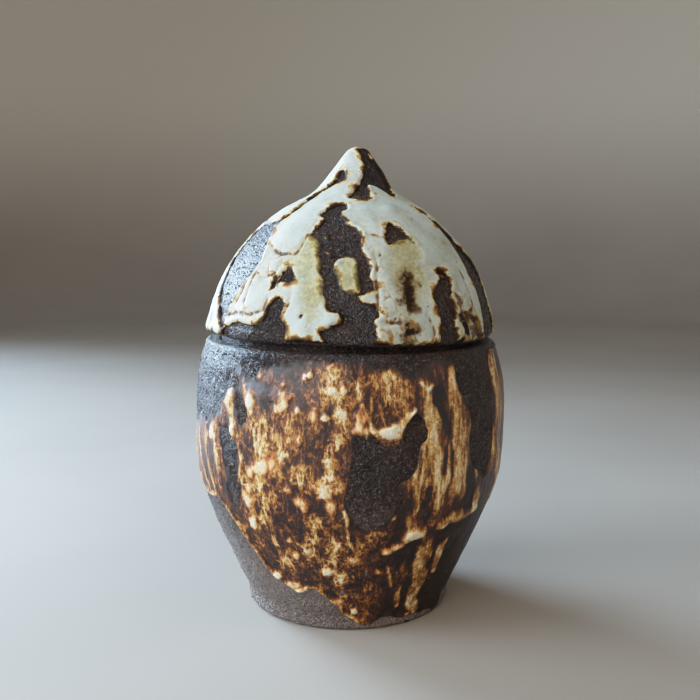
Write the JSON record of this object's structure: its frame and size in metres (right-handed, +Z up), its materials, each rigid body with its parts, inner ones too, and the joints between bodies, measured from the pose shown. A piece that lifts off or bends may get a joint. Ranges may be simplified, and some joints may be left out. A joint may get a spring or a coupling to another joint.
{
  "type": "lidded stoneware jar",
  "caption": "Acorn-shaped stoneware jar with a lift-off domed lid, a pulled point as its handle, and thick crawled and running glaze over dark clay.",
  "frame": {"origin": "centre of the foot, on the surface that the jar stands on", "axes": "+Z up along the jar's axis, -Y towards the front, +X to the right seen from the front"},
  "size_m": [0.1102, 0.1102, 0.1595],
  "materials": {
    "stoneware": "bare fired clay, coarse and matt",
    "body_glaze": "glossy running glaze",
    "liner_glaze": "glossy",
    "lid_glaze": "thick satin glaze"
  },
  "bodies": {
    "jar": {"jar_body": "stoneware", "body_glaze": "body_glaze", "liner_glaze": "liner_glaze"},
    "lid": {"lid": "stoneware", "lid_glaze": "lid_glaze"}
  },
  "joints": [
    {"name": "lid_lift", "type": "slide", "parent": "jar", "child": "lid", "axis": [0, 0, 1], "range_m": [0, 0.08]}
  ]
}
